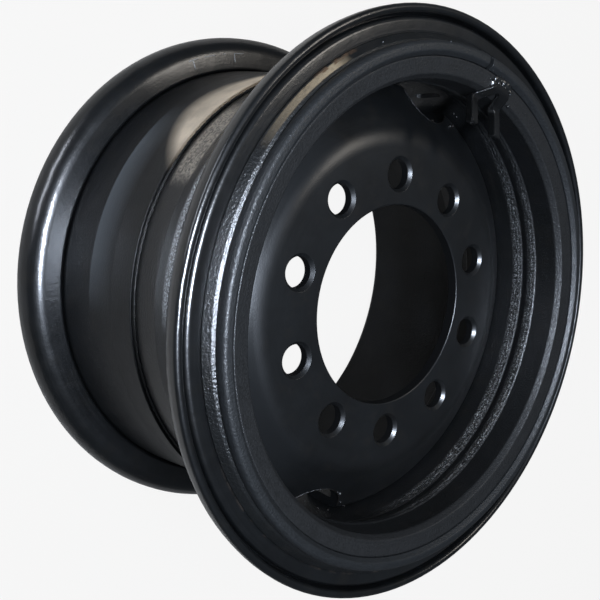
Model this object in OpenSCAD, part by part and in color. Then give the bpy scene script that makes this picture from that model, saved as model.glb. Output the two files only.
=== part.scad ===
// Demountable truck wheel: a rim base with two side rings, a split lock ring and a pressed disc.
// The wheel axis is Z and outboard is +Z. The origin is on the axis, at the hub mounting face.
// Rim sections are drawn as radius and "out", the distance from a bead face away from the tyre.

/* [Rim] */
// Outer diameter of both side rings
flange_d = 616; // [600:1:630]
// Distance between the two bead faces
rim_w = 276; // [262:1:290]
// Hub mounting face to the outboard bead face
outset = 32; // [26:1:38]
// Height of the side rings above the bead seat
flange_h = 42.5; // [40:0.5:46]
// Slope of the bead seats, in degrees
seat_slope = 5; // [3:0.5:6]
// Width of the sloped bead seats
seat_w = 52; // [44:1:56]
// Outboard end of the thick rear band, measured from the outboard bead face
seam_in = 136; // [126:1:146]
// Wall of the thin middle of the rim base
middle_t = 8; // [7:0.5:9]
// Height of the step where the rear band ends
step_h = 5.5; // [3:0.5:6]
// Height of the two low ribs on the inner wall
rib_h = 1.3; // [1:0.1:1.6]
// Width of the taper from the rear bead seat down to the rear band
rear_taper_w = 46; // [42:1:50]
// Radius of the two bends of that taper
rear_taper_r = 60; // [50:5:70]
// Width of the taper from the front bead seat down to the thin middle
front_taper_w = 35; // [30:1:40]

/* [Side rings] */
// Wall of the rolled lip
ring_t = 8.5; // [7.5:0.5:9.5]
// Radius of the curl towards the tyre
curl_r = 22; // [18:1:24]
// Depth of a side ring, from its bead face to the end of its lip
lip_out = 31; // [30.5:0.5:34]
// Wall behind the bead face, at the bottom of the channel
channel_t = 15; // [12:0.5:18]
// Width of the channel between the lip and the foot, at the foot's height
channel_w = 11; // [10:0.5:13]
// Width of the channel's bottom
channel_floor = 4; // [3.5:0.5:5]
// Width of the foot's flat face
foot_w = 7; // [6:0.5:8]
// Depth of the foot that sits on the lock ring
foot_out = 27; // [25:0.5:27.5]

/* [Gutter and lock ring] */
// Depth of the gutter below the bead seat
gutter_d = 15.5; // [13:0.5:17]
// Width of the gutter
gutter_w = 18; // [16:0.5:20]
// Height of the gutter's tip above its bottom
tip_h = 8.8; // [7:0.2:9]
// Width of the gutter's tip, along the axis
tip_w = 12.5; // [11:0.5:14]
// Wall under the gutter
gutter_t = 12; // [10:0.5:13]
// Gap between the ends of the split lock ring
split_gap = 6; // [3:0.5:10]
// Place of the split around the wheel, in degrees from +X
split_at = 96; // [93:1:200]
// How far the lock ring's nose stands past the gutter's tip
nose_out = 5; // [3:0.5:7]

/* [Disc] */
// Thickness of the pressed disc
disc_t = 12; // [10:0.5:14]
// Diameter of the centre bore
bore_d = 221; // [216:0.5:226]
// Bolt circle diameter
pcd = 285.75; // [280:0.25:292]
// Number of stud holes
bolt_n = 10; // [8:2:12]
// Diameter of the stud holes
bolt_d = 32; // [28:0.5:34]
// Diameter of the countersinks at the outboard face
sink_d = 39; // [36:0.5:42]
// Diameter at which the flat hub face starts to dish
flat_d = 368; // [356:1:376]
// Depth of the dish from the flat face to the corner of the skirt
dish = 38; // [32:1:44]
// Length of the skirt that is welded into the rim
skirt_l = 42; // [34:1:46]
// Bend radius between the flat face and the dish
bend_r = 40; // [32:1:44]
// Radius of the two hand-hole notches in the disc's edge
notch_r = 44; // [38:1:46]
// How far the notches reach in from the rim's inner wall
notch_in = 31; // [26:1:34]
// Leg of the weld at the end of the skirt
weld_leg = 9; // [6:0.5:11]

/* [Valve] */
// Width of the valve slot
slot_w = 11; // [10:0.5:16]
// Length of the valve slot along the axis
slot_l = 36; // [34:1:46]
// Inboard end of the valve slot, measured from the outboard bead face
slot_in = 72; // [70:1:80]
// Distance between the middles of the two guard prongs
prong_pitch = 42; // [38:0.5:48]
// Width of a guard prong
prong_w = 10; // [8:0.5:12]
// Width of the guard's root, where it is welded on
root_w = 16; // [12:1:20]
// Thickness of the guard plate
prong_t = 8; // [6:0.5:9]
// Reach of the prongs in from the gutter's tip
prong_reach = 41; // [38:1:50]
// Depth of the guard's bend behind the gutter's tip
guard_bend = 18.5; // [17:0.5:20]
// How far the ends of the prongs rise again from the bend
prong_rise = 9.5; // [8:0.5:11]

/* [Hidden] */
$fn = 96;
gap = 0.3;
arc_steps = 5;

flange_r = flange_d / 2;
seat_r = flange_r - flange_h;
seat_drop = seat_w * tan(seat_slope);
front_face = outset;
rear_face = outset - rim_w;

// Side rings
ring_bore_r = seat_r + 2 * gap;
channel_r = flange_r - ring_t;
foot_r = channel_r - channel_w;
cone_r = foot_r - foot_w;
cone_out = foot_out - cone_r;

// Gutter, from its inboard wall to its tip
gutter_r = seat_r - gutter_d;
gutter_in = ring_bore_r + cone_out;
gutter_end = gutter_in + gutter_w;
tip_r = gutter_r + tip_h;
tip_root = gutter_end + 0.62 * tip_h;
tip_out = gutter_end + tip_w;
gutter_bore_r = gutter_r - gutter_t;
tip_face_r = gutter_bore_r + 4;
tip_slant = 3;

// Rim base
base_r = gutter_bore_r + 7;
middle_r = base_r + middle_t;
rear_r = middle_r + step_h;
rear_bore_r = base_r + 3;
flare_t = 11;
lip_r = cone_r - gap;
rear_lip_out = foot_out + 2.5;

// Disc
bore_r = bore_d / 2;
skirt_r = base_r - gap;
flat_r = flat_d / 2;
corner_z = disc_t - dish;
skirt_z = corner_z - skirt_l;
dish_a = atan2(dish, skirt_r - flat_r);
notch_y = base_r - notch_in + notch_r;
half_turn = 180 / bolt_n;

// Valve guard
tip_z = front_face + tip_out;
guard_root_r = tip_face_r + 9;
knee_r = tip_face_r - 11;

// Unit vector of a plane vector
function unit(v) = v / norm(v);

// Points of one corner b, between a and c, rounded with the radius in b[2]
function corner(a, b, c) =
    let (p = [b[0], b[1]], u = unit([a[0], a[1]] - p), v = unit([c[0], c[1]] - p), r = b[2])
    r <= 0 ? [p] :
    let (half = acos(u * v) / 2, m = p + unit(u + v) * r / sin(half),
         s = p + u * r / tan(half) - m, e = p + v * r / tan(half) - m,
         a0 = atan2(s.y, s.x), turn = atan2(s.x * e.y - s.y * e.x, s * e))
    [for (i = [0 : arc_steps]) m + r * [cos(a0 + turn * i / arc_steps), sin(a0 + turn * i / arc_steps)]];

// Outline with every corner rounded by its own radius
function rounded(c) =
    [for (i = [0 : len(c) - 1]) each corner(c[(i + len(c) - 1) % len(c)], c[i], c[(i + 1) % len(c)])];

// Section of a low rib on an inner wall, at that radius and out
function rib(r, out) = [
    [r, out + 4.5, 3],
    [r - rib_h, out + 2.5, 2],
    [r - rib_h, out - 2.5, 2],
    [r, out - 4.5, 3]];

// Ring turned from a section that is given as radius and "out" from a bead face
module turned(section) rotate_extrude() polygon(rounded(section));
module at_front() translate([0, 0, front_face]) children();
module at_rear() translate([0, 0, rear_face]) mirror([0, 0, 1]) children();

// Both side rings have this section: bead face, curl, lip, channel, and a foot with a conical seat
module side_ring() turned([
    [ring_bore_r, 0, 4.5],
    [flange_r, 0, curl_r],
    [flange_r, lip_out, 0.47 * ring_t],
    [channel_r, lip_out, 0.47 * ring_t],
    [channel_r, channel_t, 2],
    [channel_r - channel_floor, channel_t, 2.5],
    [foot_r, foot_out, 4.5],
    [cone_r, foot_out, 0.6],
    [ring_bore_r, gutter_in, 1]]);

module front_side_ring() color("#1f2226") at_front() side_ring();
module rear_side_ring() color("#1f2226") at_rear() side_ring();

// Thick rear band: bead seat and the turned-up lip that holds the rear side ring
module rim_rear_band() color("#26292d") at_rear() turned([
    [rear_r, seam_in - rim_w, 1],
    [rear_r, -seat_w - rear_taper_w, rear_taper_r],
    [seat_r - seat_drop, -seat_w, rear_taper_r],
    [seat_r, -3, 2],
    [seat_r, gutter_in, 1],
    [lip_r, gutter_in + lip_r - seat_r, 0.6],
    [lip_r, rear_lip_out, 1.2],
    [rear_lip_out - cone_out - flare_t * sqrt(2), rear_lip_out, 2.5],
    [rear_bore_r, rear_bore_r + cone_out + flare_t * sqrt(2), 8],
    [rear_bore_r, seam_in - rim_w, 0]]);

// Outboard band: thin middle, bead seat and gutter, with the valve slot cut through
module rim_gutter_band() color("#26292d") difference() {
    at_front() turned([
        [middle_r, -seam_in, 0],
        [middle_r, -seat_w - 10 - front_taper_w, 10],
        [seat_r - seat_drop, -seat_w - 10, 10],
        [seat_r, -10, 4],
        [seat_r, gutter_in - gap, 1],
        [gutter_r, gutter_in - gap, 2.5],
        [gutter_r, gutter_end, 2.5],
        [tip_r, tip_root, 1],
        [tip_r, tip_out, 1.5],
        [tip_face_r, tip_out - tip_slant, 3],
        [gutter_bore_r, tip_out - tip_slant - 6.4, 4],
        each rib(gutter_bore_r, 1),
        each rib(base_r, -23),
        [base_r, -seam_in, 0]]);
    valve_slot();
}

module valve_slot() {
    low = front_face - slot_in + slot_w / 2;
    high = low + slot_l - slot_w;
    start = base_r - slot_w;
    reach = seat_r + slot_w - start;
    translate([-slot_w / 2, start, low]) cube([slot_w, reach, slot_l - slot_w]);
    for (z = [low, high])
        translate([0, start, z]) rotate([-90, 0, 0]) cylinder(d = slot_w, h = reach);
}

// Split ring that lies in the gutter, under the foot of the front side ring
module lock_ring() color("#1b1d20") difference() {
    at_front() turned([
        [gutter_r + gap, gutter_in, 2.2],
        [gutter_in - cone_out - 1.5 * gap, gutter_in, 0.8],
        [cone_r - 0.5 * gap, foot_out + gap, 0.6],
        [cone_r - 6.5, foot_out + gap + 6.3, 3],
        [cone_r - 9.9, foot_out + gap + 7.7, 0.8],
        [cone_r - 8.5, foot_out + gap + 10.8, 1],
        [cone_r - 9, tip_out + nose_out, 5],
        [tip_r + 4.2, tip_out + nose_out, 3],
        [tip_r + gap, tip_out + 0.4, 0.8],
        [tip_r + gap, tip_root - 0.5 * gap, 0.5],
        [gutter_r + gap, gutter_end - gap, 2.2]]);
    rotate([0, 0, split_at]) translate([0, -split_gap / 2, front_face])
        cube([flange_r, split_gap, tip_out + nose_out + 1]);
}

// Cutter for the two hand-hole notches, one behind the valve and one opposite
module notches() for (side = [-1, 1])
    translate([0, side * notch_y, skirt_z - 2 * weld_leg]) cylinder(r = notch_r, h = 3 * dish + skirt_l);

// Pressed disc: flat hub face, dish, and a skirt that fits inside the rim base
module disc() color("#2a2d31") {
    lean = disc_t * tan(dish_a / 2);
    bend = disc_t * tan((90 - dish_a) / 2);
    difference() {
        rotate_extrude() polygon(rounded([
            [bore_r, 0, 0],
            [flat_r - lean, 0, bend_r - disc_t],
            [skirt_r - disc_t, corner_z - bend, 4],
            [skirt_r - disc_t, skirt_z, 1],
            [skirt_r, skirt_z, 1],
            [skirt_r, corner_z, 16],
            [flat_r, disc_t, bend_r],
            [bore_r, disc_t, 1.6]]));
        for (i = [0 : bolt_n - 1]) rotate([0, 0, half_turn * (2 * i + 1) + 90]) stud_hole();
        notches();
    }
}

// Stud hole with a conical nut seat at the outboard face
module stud_hole() translate([pcd / 2, 0, 0]) {
    sink = (sink_d - bolt_d) / 2;
    translate([0, 0, -1]) cylinder(d = bolt_d, h = disc_t + 2);
    translate([0, 0, disc_t - sink]) cylinder(d1 = bolt_d, d2 = sink_d, h = sink);
    translate([0, 0, disc_t]) cylinder(d = sink_d, h = 1);
}

// Fillet weld that joins the end of the skirt to the rim base, left out at the notches
module disc_weld() color("#303338") difference() {
    rotate_extrude() polygon(rounded([
        [skirt_r - weld_leg, skirt_z, 0],
        [base_r - gap / 3, skirt_z, 0],
        [base_r - gap / 3, skirt_z - weld_leg, 0],
        [base_r - 0.62 * weld_leg, skirt_z - 0.6 * weld_leg, 4]]));
    notches();
}

// Plate of the valve guard before it is bent: a narrow root that spreads into two prongs
module fork() {
    out = (prong_pitch + prong_w) / 2;
    in = (prong_pitch - prong_w) / 2;
    end = tip_face_r - prong_reach;
    half = [
        [root_w / 2, guard_root_r, 2],
        [out, knee_r, 8],
        [out, end, 1.5],
        [in, end, 1.5],
        [in, knee_r - 3, 6]];
    crotch = [0, tip_face_r + 1, 4];
    other = [for (i = [len(half) - 1 : -1 : 0]) [-half[i].x, half[i].y, half[i].z]];
    polygon(rounded(concat(half, [crotch], other)));
}

// Fork on the gutter's tip, bent so that one prong stands on each side of the valve
module valve_guard() color("#34373b") {
    face = [tip_face_r - 1, tip_z - tip_slant + gap];
    root = [guard_root_r, tip_z - tip_slant * (tip_r - guard_root_r) / (tip_r - tip_face_r) + gap];
    knee = [knee_r, tip_z - guard_bend];
    end = [tip_face_r - prong_reach, knee.y + prong_rise];
    intersection() {
        translate([0, 0, knee.y - 1]) linear_extrude(2 * prong_reach) fork();
        rotate([90, 0, 90]) translate([0, 0, -prong_pitch]) linear_extrude(2 * prong_pitch)
            polygon(rounded([
                [root.x, root.y, 0],
                [face.x, face.y, 1],
                [knee.x, knee.y, 5],
                [end.x, end.y, 0],
                [end.x + 1, end.y + prong_t, 2],
                [knee.x + 1.5, knee.y + prong_t, 4],
                [face.x + 2, face.y + prong_t, 5],
                [root.x, root.y + 0.8 * prong_t, 3]]));
    }
}

rim_rear_band();
rim_gutter_band();
rear_side_ring();
front_side_ring();
lock_ring();
disc();
disc_weld();
valve_guard();
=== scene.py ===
import math
import random
import bmesh
import bpy
from mathutils import Matrix, Vector, noise


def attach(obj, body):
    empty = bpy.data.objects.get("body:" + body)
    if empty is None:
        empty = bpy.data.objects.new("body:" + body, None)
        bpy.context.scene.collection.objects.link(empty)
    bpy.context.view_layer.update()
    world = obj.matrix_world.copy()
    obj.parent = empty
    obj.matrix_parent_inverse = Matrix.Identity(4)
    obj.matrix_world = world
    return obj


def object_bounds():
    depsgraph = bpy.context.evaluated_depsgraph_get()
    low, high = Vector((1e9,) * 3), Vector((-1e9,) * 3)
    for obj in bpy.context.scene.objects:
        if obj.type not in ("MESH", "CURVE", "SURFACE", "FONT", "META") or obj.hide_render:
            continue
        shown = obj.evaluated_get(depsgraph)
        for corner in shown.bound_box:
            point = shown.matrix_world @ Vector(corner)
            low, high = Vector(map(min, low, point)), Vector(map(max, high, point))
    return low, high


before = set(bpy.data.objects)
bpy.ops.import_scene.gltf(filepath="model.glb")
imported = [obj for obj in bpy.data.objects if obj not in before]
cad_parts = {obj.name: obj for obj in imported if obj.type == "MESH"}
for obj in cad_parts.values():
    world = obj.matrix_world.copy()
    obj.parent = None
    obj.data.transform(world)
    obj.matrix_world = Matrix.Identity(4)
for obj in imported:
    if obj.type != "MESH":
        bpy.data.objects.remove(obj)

cad_box = [list(corner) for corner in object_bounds()]

# Camera and stage
# The wheel lies on its rear side ring on a pale floor, and the camera looks down on it from the
# outboard side, rolled so that the valve comes to the top of the picture.
camera_place = Vector((-0.6386, -0.0576, 0.5803))
picture_right = Vector((0.7118, 0.2709, 0.6480)).normalized()
picture_back = Vector((-0.6637, -0.0423, 0.7468)).normalized()
picture_up = picture_back.cross(picture_right).normalized()
focal_px = 772.9
picture_px = 600
sensor_mm = 36.0
nearest_seen = 0.02

camera_data = bpy.data.cameras.new("camera")
camera_data.sensor_width = sensor_mm
camera_data.lens = sensor_mm * focal_px / picture_px
camera_data.clip_start = nearest_seen
camera = bpy.data.objects.new("camera", camera_data)
turn = Matrix((picture_right, picture_up, picture_back)).transposed().to_4x4()
camera.matrix_world = Matrix.Translation(camera_place) @ turn
bpy.context.collection.objects.link(camera)
bpy.context.scene.camera = camera
bpy.context.scene.view_settings.view_transform = "Standard"


def linear(colour):
    """Linear RGBA of an sRGB hex colour."""
    parts = [int(colour[i:i + 2], 16) / 255 for i in (1, 3, 5)]
    return [c / 12.92 if c <= 0.04045 else ((c + 0.055) / 1.055) ** 2.4 for c in parts] + [1.0]


def add(tree, kind, inputs, **settings):
    """Adds a node to the tree, with its settings, and its inputs as values or as sockets to link."""
    node = tree.nodes.new(kind)
    for name, value in settings.items():
        setattr(node, name, value)
    for name, value in inputs.items():
        if isinstance(value, bpy.types.NodeSocket):
            tree.links.new(value, node.inputs[name])
        else:
            node.inputs[name].default_value = value
    return node


def calc(tree, operation, a, b):
    """One sum on two values or sockets."""
    return add(tree, "ShaderNodeMath", {0: a, 1: b}, operation=operation).outputs[0]


def empty_material(name):
    """New material with an empty node tree."""
    material = bpy.data.materials.new(name)
    material.use_nodes = True
    material.node_tree.nodes.clear()
    return material, material.node_tree


# Matt pale paper floor. The camera sees it whiter than the lamps make it, so that the wheel stands
# on near white, and a faint shadow still shows. The gloss of the paint shows a little of that white.
floor_half = 9.0
floor_gap = 0.0002
white_in_gloss = 0.05
white_to_camera = 0.90

floor_paper, tree = empty_material("matt_pale_paper")
paper = add(tree, "ShaderNodeBsdfDiffuse", {"Color": linear("#a4a4a3")})
white = add(tree, "ShaderNodeEmission", {"Color": linear("#ffffff"), "Strength": 1.0})
ray = add(tree, "ShaderNodeLightPath", {})
mirrored = calc(tree, "ADD", ray.outputs["Is Glossy Ray"], ray.outputs["Is Transmission Ray"])
white_share = calc(tree, "ADD", calc(tree, "MULTIPLY", mirrored, white_in_gloss),
                   calc(tree, "MULTIPLY", ray.outputs["Is Camera Ray"], white_to_camera))
seen = add(tree, "ShaderNodeMixShader", {0: white_share, 1: paper.outputs[0], 2: white.outputs[0]})
add(tree, "ShaderNodeOutputMaterial", {"Surface": seen.outputs[0]})

floor_z = cad_box[0][2] - floor_gap
floor_mesh = bpy.data.meshes.new("floor")
corners = [(-1, -1), (1, -1), (1, 1), (-1, 1)]
floor_mesh.from_pydata([(x * floor_half, y * floor_half, floor_z) for x, y in corners], [], [(0, 1, 2, 3)])
floor_mesh.materials.append(floor_paper)
floor = bpy.data.objects.new("floor", floor_mesh)
bpy.context.collection.objects.link(floor)

# Lamps. Each stands off the wheel's middle in a direction given as degrees to the right of the camera
# and degrees above it, in the picture. The first, near the camera, draws the streaks and the shadows.
# The glint is seen only in the gloss, and the warm lamp only on what is dull.
wheel_middle = Vector((0.0, 0.0, -0.08))


def lamp(name, right_deg, up_deg, distance, width, height, watts, colour):
    """Rectangular lamp that faces the wheel, with its height along the picture's up."""
    a = math.radians(right_deg)
    b = math.radians(up_deg)
    level = picture_right * math.sin(a) + picture_back * math.cos(a)
    away = level * math.cos(b) + picture_up * math.sin(b)
    data = bpy.data.lights.new(name, "AREA")
    data.shape = "RECTANGLE"
    data.size = width
    data.size_y = height
    data.energy = watts
    data.color = linear(colour)[:3]
    lamp_object = bpy.data.objects.new(name, data)
    side = picture_up.cross(away).normalized()
    face = Matrix((side, away.cross(side), away)).transposed().to_4x4()
    lamp_object.matrix_world = Matrix.Translation(wheel_middle + away * distance) @ face
    bpy.context.collection.objects.link(lamp_object)
    return lamp_object


# Name, degrees to the right and above, then distance, width and height in metres, and watts.
lamp("beside_camera", 12.5, -4, 1.35, 0.15, 0.5, 14.0, "#f4f8ff")
glint = lamp("glint", 12.5, -6, 1.36, 0.10, 0.36, 36.0, "#d8e8ff")
glint.visible_diffuse = False
warm = lamp("warm_above", 15, 50, 2.2, 0.4, 0.3, 3.4, "#ffe2bc")
warm.visible_glossy = False
lamp("right_strip", 66, 20, 2.0, 0.35, 0.6, 5.0, "#fff8ee")
lamp("left_strip", -44, 26, 1.9, 0.35, 1.0, 11.0, "#eaf1ff")

world = bpy.data.worlds.new("room")
world.use_nodes = True
world.node_tree.nodes["Background"].inputs["Color"].default_value = linear("#cfd9e6")
world.node_tree.nodes["Background"].inputs["Strength"].default_value = 0.10
bpy.context.scene.world = world


# Rim bands
# Two bands of rolled steel plate are butted and welded into the rim base. They were brushed with
# black enamel over mill scale, which lies satin, with rolling marks along the circumference. A
# pale, warm painted reflection lies on top of both, behind the rings, and lighter painted
# highlights lie by the crease, on the front shoulder and on the inner ribs.
def around(tree):
    """Bearing, radius and height of the point that is shaded, in degrees and mm.

    The bearing is 0 on the side that faces the camera, and grows towards the valve.
    """
    place = add(tree, "ShaderNodeTexCoord", {}).outputs["Object"]
    axes = add(tree, "ShaderNodeSeparateXYZ", {0: place}).outputs
    flat = add(tree, "ShaderNodeVectorMath", {0: place, 1: (1, 1, 0)}, operation="MULTIPLY").outputs[0]
    radius = add(tree, "ShaderNodeVectorMath", {0: flat}, operation="LENGTH").outputs["Value"]
    back = calc(tree, "MULTIPLY", axes[0], -1)
    bearing = calc(tree, "MULTIPLY", calc(tree, "ARCTAN2", axes[1], back), 180 / math.pi)
    return bearing, calc(tree, "MULTIPLY", radius, 1000), calc(tree, "MULTIPLY", axes[2], 1000)


def wheel_way(tree, along_mm, across_mm, detail):
    """Noise drawn out along the circumference, with marks that long and that wide, without a seam."""
    rim_radius = 0.26
    place = add(tree, "ShaderNodeTexCoord", {}).outputs["Object"]
    flat = add(tree, "ShaderNodeVectorMath", {0: place, 1: (1, 1, 0)}, operation="MULTIPLY").outputs[0]
    radius = add(tree, "ShaderNodeVectorMath", {0: flat}, operation="LENGTH").outputs["Value"]
    spoke = add(tree, "ShaderNodeVectorMath", {0: flat}, operation="NORMALIZE").outputs[0]
    stretch = rim_radius * across_mm / along_mm
    arc = add(tree, "ShaderNodeVectorMath", {0: spoke, "Scale": stretch}, operation="SCALE").outputs[0]
    height = add(tree, "ShaderNodeVectorMath", {0: place, 1: (0, 0, 1)}, operation="MULTIPLY").outputs[0]
    spot = add(tree, "ShaderNodeVectorMath", {0: arc, 1: height}, operation="ADD").outputs[0]
    return add(tree, "ShaderNodeTexNoise", {"Vector": spot, "W": radius, "Scale": 1000 / across_mm,
               "Detail": detail, "Roughness": 0.55}, noise_dimensions="4D").outputs["Fac"]


def speckle(tree, size_mm, detail):
    """Even noise with lumps of that size."""
    place = add(tree, "ShaderNodeTexCoord", {}).outputs["Object"]
    return add(tree, "ShaderNodeTexNoise", {"Vector": place, "Scale": 1000 / size_mm, "Detail": detail,
               "Roughness": 0.6}).outputs["Fac"]


def ramp(tree, value, low, high, start, end):
    """Spreads low..high of a value over start..end."""
    return add(tree, "ShaderNodeMapRange", {"Value": value, "From Min": low, "From Max": high,
               "To Min": start, "To Max": end}).outputs["Result"]


def window(tree, value, start, end, soft):
    """1 for values between start and end, and 0 further out than soft from them."""
    rise = ramp(tree, value, start - soft, start, 0, 1)
    return calc(tree, "MULTIPLY", rise, ramp(tree, value, end, end + soft, 1, 0))


def blend(tree, share, a, b):
    """Colour a, with that share of colour b."""
    return add(tree, "ShaderNodeMix", {"Factor": share, "A": a, "B": b}, data_type="RGBA").outputs["Result"]


# Sizes of what shows in brushed enamel. Rolling marks are finer in truth, and are drawn this wide so
# that they show.
cloud_mm = 70
wave_mm = 45
dust_mm = 22
blotch_mm = 14
mark_length_mm = 160
mark_width_mm = 1.6


def enamel(name, tones, gloss, coat, body, shine, lumps, marks, waves, films=(), edge=0.9):
    """Black enamel on steel: two blacks in slow clouds, thin dust, and worn, softened edges.

    A clear coat of weight coat and roughness gloss lies on a body of roughness body and specular
    level shine. Lumps of scale are given as width and depth, and rolling marks and slow waves as
    depth, in mm. Each film is a function that gives its share, with a colour and a roughness, and
    edge is the radius in mm over which light rounds the edges.
    """
    material, tree = empty_material(name)
    dark, light, dust = (linear(tone) for tone in tones)
    clouds = ramp(tree, speckle(tree, cloud_mm, 4), 0.35, 0.65, 0, 1)
    dusty = ramp(tree, speckle(tree, dust_mm, 6), 0.52, 0.75, 0, 0.35)
    colour = blend(tree, dusty, blend(tree, clouds, dark, light), dust)
    rolled = wheel_way(tree, mark_length_mm, mark_width_mm, 3)
    rough = calc(tree, "ADD", ramp(tree, rolled, 0.3, 0.7, body - 0.04, body + 0.05),
                 ramp(tree, speckle(tree, blotch_mm, 5), 0.35, 0.7, -0.03, 0.04))
    clear = coat
    for film, film_colour, film_rough in films:
        share = film(tree)
        clear = calc(tree, "MULTIPLY", clear, ramp(tree, share, 0, 1, 1, 0.15))
        colour = blend(tree, share, colour, linear(film_colour))
        rough = calc(tree, "ADD", rough, calc(tree, "MULTIPLY", share, film_rough - body))
    lump_width, lump_depth = lumps
    normal = add(tree, "ShaderNodeBevel", {"Radius": edge / 1000}, samples=4).outputs[0]
    for height, depth in ((speckle(tree, wave_mm, 2), waves), (rolled, marks),
                          (speckle(tree, lump_width, 3), lump_depth)):
        normal = add(tree, "ShaderNodeBump", {"Height": height, "Distance": depth / 1000, "Strength": 1.0,
                     "Normal": normal}).outputs[0]
    shader = add(tree, "ShaderNodeBsdfPrincipled", {"Base Color": colour, "Normal": normal, "IOR": 1.5,
                 "Roughness": rough, "Specular IOR Level": shine, "Coat Weight": clear,
                 "Coat Roughness": gloss, "Coat IOR": 1.5, "Coat Normal": normal})
    add(tree, "ShaderNodeOutputMaterial", {"Surface": shader.outputs[0]})
    return material


# Edges that bend less than this belong to a curve, and light runs smoothly over them.
smooth_below_deg = 32
weld_gap = 0.00002

smooth = bpy.data.node_groups.new("smooth_curves", "GeometryNodeTree")
smooth.interface.new_socket("Geometry", in_out="INPUT", socket_type="NodeSocketGeometry")
smooth.interface.new_socket("Geometry", in_out="OUTPUT", socket_type="NodeSocketGeometry")
facets = add(smooth, "NodeGroupInput", {}).outputs[0]
facets = add(smooth, "GeometryNodeRemoveAttribute", {0: facets, "Name": "custom_normal"}).outputs[0]
facets = add(smooth, "GeometryNodeMergeByDistance", {"Geometry": facets, "Distance": weld_gap}).outputs[0]
fold = add(smooth, "GeometryNodeInputMeshEdgeAngle", {}).outputs["Unsigned Angle"]
curved = add(smooth, "FunctionNodeCompare", {"A": fold, "B": math.radians(smooth_below_deg)},
             operation="LESS_THAN").outputs[0]
facets = add(smooth, "GeometryNodeSetShadeSmooth", {"Geometry": facets, "Shade Smooth": True}).outputs[0]
facets = add(smooth, "GeometryNodeSetShadeSmooth", {"Geometry": facets, "Shade Smooth": curved},
             domain="EDGE").outputs[0]
add(smooth, "NodeGroupOutput", {0: facets})


def dress(node, material):
    """Gives a piece of the frame its material, and lets light run smoothly over its rolled curves."""
    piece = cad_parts[node]
    piece.data.materials.clear()
    piece.data.materials.append(material)
    piece.modifiers.new("smooth_curves", "NODES").node_group = smooth
    even = piece.modifiers.new("even_light", "WEIGHTED_NORMAL")
    even.keep_sharp = True


def rear_painted_reflection(tree):
    """Painted warm reflection, as a lens on top of the rear band, sharp along the step and soft behind it.
    """
    bearing, radius, height = around(tree)
    off = calc(tree, "MULTIPLY", calc(tree, "SUBTRACT", bearing, 38.5), 1 / 23)
    edge = calc(tree, "MULTIPLY", calc(tree, "MULTIPLY", off, off), 56)
    depth = calc(tree, "SUBTRACT", height, calc(tree, "SUBTRACT", edge, 168))
    share = calc(tree, "MULTIPLY", ramp(tree, depth, 0, 26, 0, 1), window(tree, bearing, 24, 57, 12))
    share = calc(tree, "MULTIPLY", share, ramp(tree, height, -135, -104, 0.72, 1))
    return calc(tree, "MULTIPLY", share, ramp(tree, speckle(tree, 26, 6), 0.25, 0.6, 0.7, 1))


def rear_painted_highlight(tree):
    """Painted highlight on the rear band, sharp along the crease of the bead seat and soft beyond it."""
    bearing, radius, height = around(tree)
    crease = ramp(tree, height, -191, -189, 0, 1)
    fade = calc(tree, "MULTIPLY", crease, ramp(tree, height, -186, -145, 0.8, 0))
    share = calc(tree, "MULTIPLY", fade, window(tree, bearing, -8, 22, 14))
    return calc(tree, "MULTIPLY", share, ramp(tree, radius, 250, 252, 0, 1))


def front_painted_reflection(tree):
    """Painted warm reflection in speckles, in the hollow of the front band."""
    bearing, radius, height = around(tree)
    share = calc(tree, "MULTIPLY", window(tree, height, -92, -64, 6), window(tree, bearing, 15, 34, 4))
    return calc(tree, "MULTIPLY", share, ramp(tree, speckle(tree, 3, 5), 0.4, 0.6, 0.1, 0.75))


def front_painted_glitter(tree):
    """Painted highlight in blue-white grains on the shoulder of the front band."""
    bearing, radius, height = around(tree)
    share = calc(tree, "MULTIPLY", window(tree, height, -38, -29, 7), window(tree, bearing, -14, 12, 7))
    outside = ramp(tree, radius, 250, 252, 0, 1)
    grains = ramp(tree, speckle(tree, 2.0, 5), 0.44, 0.60, 0.05, 1)
    return calc(tree, "MULTIPLY", calc(tree, "MULTIPLY", share, outside), grains)


def rib_painted_glints(tree):
    """Painted glints in grains along the two ribs of the inner wall, on the side away from the camera."""
    bearing, radius, height = around(tree)
    far = ramp(tree, calc(tree, "ABSOLUTE", bearing, 0), 105, 145, 0, 1)
    ribs = calc(tree, "ADD", window(tree, height, 3, 8, 6), window(tree, height, 27, 32, 6))
    inside = ramp(tree, radius, 246, 248, 1, 0)
    grains = ramp(tree, speckle(tree, 1.8, 5), 0.50, 0.66, 0, 0.85)
    return calc(tree, "MULTIPLY", calc(tree, "MULTIPLY", far, ribs), calc(tree, "MULTIPLY", inside, grains))


def tip_scale(tree):
    """Dull scale on the gutter's tip and on the slope inside it, in grains."""
    bearing, radius, height = around(tree)
    grains = ramp(tree, speckle(tree, 2.4, 5), 0.4, 0.6, 1, 0.5)
    return calc(tree, "MULTIPLY", window(tree, height, 64, 80, 1.5), grains)


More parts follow.
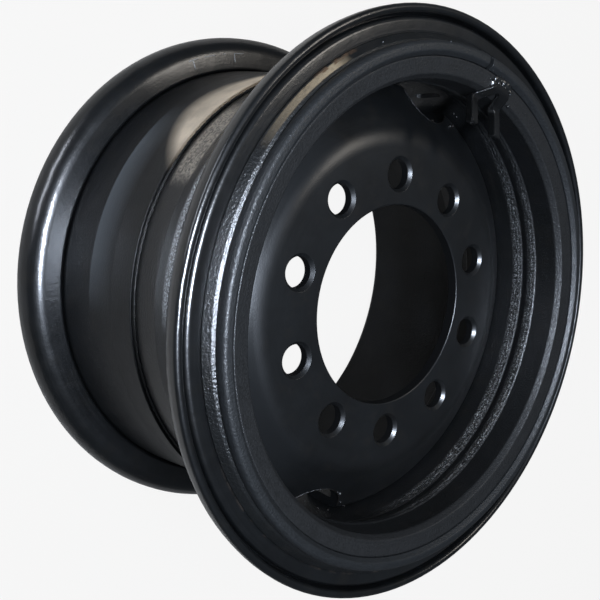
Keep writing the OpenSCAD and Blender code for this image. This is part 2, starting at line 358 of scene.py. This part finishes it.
# Mill scale has grains of about 0.5 mm, too fine to show here, so its lumps are drawn about 2 mm wide.
# The rear band is the smoother of the two, and spreads the light softly. The front band is rougher
# under a fuller coat, and breaks the light into grains.
plate_tones = ("#0b0d0e", "#121417", "#26231f")
# Its films are a painted warm reflection on top and a painted highlight by the crease.
rear_paint = enamel("satin_enamel_on_rolled_plate", plate_tones, gloss=0.30, coat=0.45, body=0.45,
                    shine=0.15, lumps=(2.4, 0.25), marks=0.05, waves=0.25,
                    films=[(rear_painted_reflection, "#f6e8d2", 0.90), (rear_painted_highlight, "#5a6066", 0.65)])
# Its films are a painted warm reflection, painted highlights in grains on the shoulder and the ribs, and
# dull scale on the tip.
front_paint = enamel("rough_enamel_on_rolled_plate", plate_tones, gloss=0.28, coat=0.9, body=0.42,
                     shine=0.3, lumps=(2.0, 0.6), marks=0.05, waves=0.25,
                     films=[(front_painted_reflection, "#d8d0c2", 0.84), (front_painted_glitter, "#eef4fa", 0.54),
                            (rib_painted_glints, "#e6eef6", 0.49), (tip_scale, "#121416", 0.69)])
dress("rim_rear_band", rear_paint)
dress("rim_gutter_band", front_paint)


# Seam between the bands
# The two bands are joined by a weld on the outside, at the foot of the step. It was laid by machine,
# with even ripples, and was painted over with the rim.
def skin(name, rows, looped, material):
    """Piece whose surface joins closed rows of points in mm, with capped ends unless it is looped."""
    count = len(rows[0])
    points = [point / 1000 for row in rows for point in row]
    faces = []
    for i in range(len(rows) if looped else len(rows) - 1):
        a, b = i * count, (i + 1) % len(rows) * count
        faces += [(a + j, a + (j + 1) % count, b + (j + 1) % count, b + j) for j in range(count)]
    if not looped:
        faces += [tuple(range(count))[::-1], tuple(range(len(points) - count, len(points)))]
    mesh = bpy.data.meshes.new(name)
    mesh.from_pydata(points, [], faces)
    mesh.materials.append(material)
    mesh.shade_smooth()
    piece = bpy.data.objects.new(name, mesh)
    bpy.context.collection.objects.link(piece)
    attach(piece, "root")


bead_sides = 10
bead_flatness = 0.7
bead_lump_mm = 2.6
ripple_depth = 0.13


def bead(name, path, up, size, ripple_mm, lumps, material, looped=False):
    """Weld bead of that half width along points in mm: rippled, lumpy and thinner at free ends."""
    rows = []
    last = len(path) - 1
    way = 0.0
    for i, point in enumerate(path):
        if looped:
            ahead = path[(i + 1) % len(path)] - path[i - 1]
        else:
            ahead = path[min(i + 1, last)] - path[max(i - 1, 0)]
        way += ahead.length / 2
        side = ahead.cross(up(point)).normalized()
        lift = side.cross(ahead).normalized()
        end = 1 if looped else min(1, (min(i, last - i) + 0.7) / 3)
        row = []
        for k in range(bead_sides):
            a = math.tau * k / bead_sides
            reach = (side * math.cos(a) + lift * math.sin(a) * bead_flatness) * size * end
            lumpy = 1 + lumps * noise.noise((point + reach) / bead_lump_mm)
            lumpy += ripple_depth * math.sin(math.tau * way / ripple_mm + 1.2 * math.cos(a))
            row.append(point + reach * lumpy)
        rows.append(row)
    skin(name, rows, looped, material)


def on_wheel(radius, degrees, height):
    """Point in mm at that radius, angle in degrees from +X and height."""
    a = math.radians(degrees)
    return Vector((radius * math.cos(a), radius * math.sin(a), height))


def up_corner(point):
    """Way up in the corner of the step, about halfway between outwards and outboard."""
    rise = 260
    return Vector((point.x, point.y, rise)).normalized()


seam_steps = 1080
seam_radius = 254.0
seam_height = -103.4
seam_path = [on_wheel(seam_radius, 360 * i / seam_steps, seam_height) for i in range(seam_steps)]
bead("seam_weld", seam_path, up_corner, size=1.7, ripple_mm=5.5, lumps=0.5, material=front_paint,
     looped=True)


# Side rings
# Both rings are hot rolled bars, curled, butt welded and dipped in the same black enamel, which
# flows to a better gloss on their smooth faces. Rust shows where a foot meets the lock ring.
def foot_rust(tree):
    """Thin rust along the inner edge of a ring's foot, in patches."""
    bearing, radius, height = around(tree)
    share = calc(tree, "MULTIPLY", window(tree, radius, 279, 282.4, 1.2), ramp(tree, height, 40, 50, 0, 1))
    share = calc(tree, "MULTIPLY", share, window(tree, bearing, -96, -48, 10))
    return calc(tree, "MULTIPLY", share, ramp(tree, speckle(tree, 14, 6), 0.48, 0.62, 0, 0.45))


ring_paint = enamel("gloss_enamel_on_hot_rolled_bar", ("#0a0c0e", "#111417", "#22201b"), gloss=0.20,
                    coat=1.0, body=0.34, shine=0.3, lumps=(3.2, 0.14), marks=0.04, waves=0.5,
                    films=[(foot_rust, "#33291f", 0.84)])
dress("rear_side_ring", ring_paint)
dress("front_side_ring", ring_paint)


def up_z(point):
    """Way up on a face that looks outboard."""
    return Vector((0, 0, 1))


# The foot of the front ring is wide and flat on top, and rounds over into a narrow groove beside
# the lip. This collar carries the solid foot out to that groove. Its section is radius and height.
foot_top = 59.15
foot_round = 5.5
foot_end = 291.6
foot_wall = 297.1
collar_steps = 360
collar = [(283.0, 57.0), (281.9, 58.4), (282.3, foot_top), (283.0, foot_top), (287.0, foot_top)]
for k in range(11):
    a = math.radians(90 - 9 * k)
    collar.append((foot_end + foot_round * math.cos(a), foot_top - foot_round + foot_round * math.sin(a)))
collar += [(foot_wall, 51.0), (foot_wall, 47.2), (292.0, 47.2), (286.0, 55.0)]
collar_rows = [[on_wheel(radius, 360 * i / collar_steps, height) for radius, height in collar]
               for i in range(collar_steps)]
skin("front_ring_collar", collar_rows, True, ring_paint)

# Steel laid bare by a knock: short bright lines, cold against the black.
bare_steel = enamel("scraped_steel", ("#9aa1a8", "#bcc3ca", "#b4b2ae"), gloss=0.3, coat=0.5, body=0.4,
                    shine=0.8, lumps=(1.2, 0.1), marks=0.0, waves=0.0)
ring_face = -243.9
for i, (x, y) in enumerate(((-174, 221), (-122, 254))):
    middle = Vector((x, y, ring_face))
    spoke = Vector((x, y, 0)).normalized()
    path = [middle + spoke * k for k in range(-6, 7)]
    bead(f"rear_ring_scrape_{i + 1}", path, up_z, size=0.5, ripple_mm=3, lumps=0.6, material=bare_steel)
scratch_radius = 287.0
scratch_height = -244.0
for i, (start, end) in enumerate(((129.5, 126.5), (125.0, 121.0), (119.6, 118.2), (116.0, 112.5))):
    steps = round((start - end) * 4)
    path = [on_wheel(scratch_radius, start + (end - start) * k / steps, scratch_height)
            for k in range(steps + 1)]
    bead(f"rear_ring_scratch_{i + 1}", path, up_z, size=0.45, ripple_mm=3, lumps=0.6, material=bare_steel)


# Lock ring
# The split ring is hot rolled too, and its nose was left with the scale of the mill under the
# paint, so that it glitters. A painted warm reflection with pale dust lies on its cone, and rust
# lies in the gap beside the ring that it locks.
def nose_scale(tree):
    """Coarse mill scale on the nose, which scatters the light in grains."""
    bearing, radius, height = around(tree)
    grains = ramp(tree, speckle(tree, 2.4, 5), 0.4, 0.6, 1, 0.6)
    return calc(tree, "MULTIPLY", ramp(tree, height, 70, 73, 0, 1), grains)


def lock_dust_and_painted_reflection(tree):
    """Painted warm reflection, with pale dust and rust, on the cone of the lock ring, over part of its turn.
    """
    bearing, radius, height = around(tree)
    share = calc(tree, "MULTIPLY", window(tree, bearing, 22, 39, 5), window(tree, radius, 275.5, 279.4, 0.8))
    share = calc(tree, "MULTIPLY", share, ramp(tree, bearing, 22, 42, 0.2, 0.9))
    return calc(tree, "MULTIPLY", share, ramp(tree, speckle(tree, 5, 5), 0.3, 0.5, 0.75, 1))


def edge_rust(tree):
    """Brown rust in the gap between the lock ring and the side ring."""
    bearing, radius, height = around(tree)
    share = calc(tree, "MULTIPLY", window(tree, radius, 278.6, 281.4, 0.6), window(tree, bearing, 37, 44, 3))
    return calc(tree, "MULTIPLY", share, ramp(tree, speckle(tree, 9, 6), 0.45, 0.6, 0, 0.9))


# On the lock ring, the pale film is a painted warm reflection with dust, and the brown one is rust.
scale_paint = enamel("enamel_on_mill_scale", ("#0c0e10", "#141719", "#2a2722"), gloss=0.24, coat=1.0,
                     body=0.38, shine=0.3, lumps=(2.2, 0.6), marks=0.03, waves=0.3,
                     films=[(nose_scale, "#1c2024", 0.62), (lock_dust_and_painted_reflection, "#b3a58c", 0.74),
                            (edge_rust, "#54402c", 0.84)])
dress("lock_ring", scale_paint)


def spatter(name, spots, material):
    """Drops of weld metal that stuck to a surface, each given as x, y, z and width in mm."""
    shape = bmesh.new()
    for x, y, z, width in spots:
        for vertex in bmesh.ops.create_icosphere(shape, subdivisions=2, radius=1.0)["verts"]:
            lump = 1 + 0.35 * noise.noise(vertex.co * 1.7 + Vector((x, y, z)))
            vertex.co = (Vector((x, y, z)) + vertex.co * lump * width / 2) / 1000
    mesh = bpy.data.meshes.new(name)
    shape.to_mesh(mesh)
    shape.free()
    mesh.materials.append(material)
    mesh.shade_smooth()
    piece = bpy.data.objects.new(name, mesh)
    bpy.context.collection.objects.link(piece)
    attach(piece, "root")


ring_drops = [(-168, 221, 64, 2.4), (-9, 263, 77.8, 2.4), (59, 261, 77.8, 2.0), (-94, 255, 77.2, 2.2)]
spatter("lock_ring_spatter", ring_drops, scale_paint)


# Disc
# The disc is pressed from plate and blasted before it is painted: an even satin black with a thin
# grey film of dust. Its two hand-hole notches were cut by torch, which left slag along their edges.
def hole_walls_painted_shade(tree):
    """Painted shade on the walls of the holes and of the bore, in darker, duller paint."""
    facing = add(tree, "ShaderNodeTexCoord", {}).outputs["Normal"]
    level = add(tree, "ShaderNodeSeparateXYZ", {0: facing}).outputs[2]
    bearing, radius, height = around(tree)
    upright = ramp(tree, calc(tree, "ABSOLUTE", level, 0), 0.25, 0.5, 1, 0)
    return calc(tree, "MULTIPLY", upright, ramp(tree, radius, 180, 182, 1, 0))


def dish_rub(tree):
    """Dull, rubbed paint over the dish on the side that faces the camera."""
    bearing, radius, height = around(tree)
    return calc(tree, "MULTIPLY", window(tree, bearing, -62, 30, 20), window(tree, radius, 190, 260, 9))


# The darker film on the walls of the holes and the bore is painted shade.
disc_paint = enamel("satin_enamel_on_pressed_plate", ("#0d0f11", "#14171a", "#262421"), gloss=0.32,
                    coat=1.0, body=0.45, shine=0.1, lumps=(1.8, 0.08), marks=0.02, waves=0.3,
                    films=[(dish_rub, "#181b1e", 0.73), (hole_walls_painted_shade, "#07080a", 0.83)])
dress("disc", disc_paint)

# Slag from the torch: a dark, scorched crust with a trace of brown, and duller than the paint.
slag = enamel("scorched_slag", ("#0c0c0d", "#161412", "#3a2f26"), gloss=0.34, coat=0.25, body=0.45,
              shine=0.3, lumps=(1.4, 0.5), marks=0.0, waves=0.1)

notch_radius = 44
notch_middle = 258
notch_half_deg = 62
flat_radius = 184
flat_top = 12
dish_slope = 38 / 60.7
slag_sunk = 0.5
for side, place in ((1, "top"), (-1, "bottom")):
    cut = []
    for k in range(121):
        a = math.radians(-notch_half_deg + 2 * notch_half_deg * k / 120)
        spot = Vector((notch_radius * math.sin(a), side * (notch_middle - notch_radius * math.cos(a)), 0))
        spot.z = flat_top - dish_slope * (spot.length - flat_radius) - slag_sunk
        cut.append(spot)
    bead(f"{place}_notch_slag", cut, up_z, size=1.1, ripple_mm=4, lumps=0.9, material=slag)

wall_radius = 244.8
loose = random.Random(4)
drops = [(24, -219, -11, 5), (19, -217, -10, 3), (39, -231, -20, 4), (45, 226, -16, 4), (52, 229, -18, 3)]
for k in range(26):
    point = on_wheel(wall_radius, -90 + loose.uniform(-14, 16), loose.uniform(-66, -22))
    drops.append((point.x, point.y, point.z, loose.uniform(1.0, 2.4)))
for k in range(8):
    point = on_wheel(wall_radius, 80 + loose.uniform(-5, 6), loose.uniform(-40, -14))
    drops.append((point.x, point.y, point.z, loose.uniform(1.2, 2.8)))
spatter("notch_spatter", drops, slag)

# Weld and valve guard
# The fillet weld at the skirt and the guard's bent plate are painted over rough metal. The guard is
# tacked to the gutter's tip by a weld round its root, laid by hand. The paint pools to a wet gloss.
weld_paint = enamel("enamel_on_weld_metal", ("#0e1012", "#16191b", "#3a342b"), gloss=0.18, coat=1.0,
                    body=0.34, shine=0.5, lumps=(2.0, 0.4), marks=0.0, waves=0.2)
guard_paint = enamel("enamel_on_bent_plate", ("#0a0b0c", "#111315", "#1e1c18"), gloss=0.14, coat=1.0,
                     body=0.45, shine=0.15, lumps=(5.0, 0.5), marks=0.0, waves=0.4, edge=2.6)
dress("disc_weld", weld_paint)
dress("valve_guard", guard_paint)

# The gutter's tip slopes inwards from its edge, and the root weld lies on that slope.
tip_top = 74.1
tip_edge = 258.8
tip_slope = 3 / 16.8
weld_lift = 0.6
root = [(-9.5, 244), (-10, 250), (-8, 255.5), (-2, 257), (4, 257), (9, 256), (14, 255.5), (19, 253),
        (20, 249)]
root_steps = 5
root_path = []
for (x0, y0), (x1, y1) in zip(root, root[1:]):
    for k in range(root_steps):
        x, y = x0 + (x1 - x0) * k / root_steps, y0 + (y1 - y0) * k / root_steps
        root_path.append(Vector((x, y, tip_top - tip_slope * (tip_edge - math.hypot(x, y)) + weld_lift)))
bead("guard_root_weld", root_path, up_z, size=3.6, ripple_mm=5, lumps=0.7, material=weld_paint)

guard_drops = [(28, 240, 70.5, 3.2), (13, 249, 74.2, 7), (17, 246, 73.4, 5), (7, 251, 75.5, 6),
               (-4, 252, 75.3, 4.5), (22, 251, 73.4, 3.5), (-16, 252, 73.2, 2)]
spatter("guard_spatter", guard_drops, weld_paint)
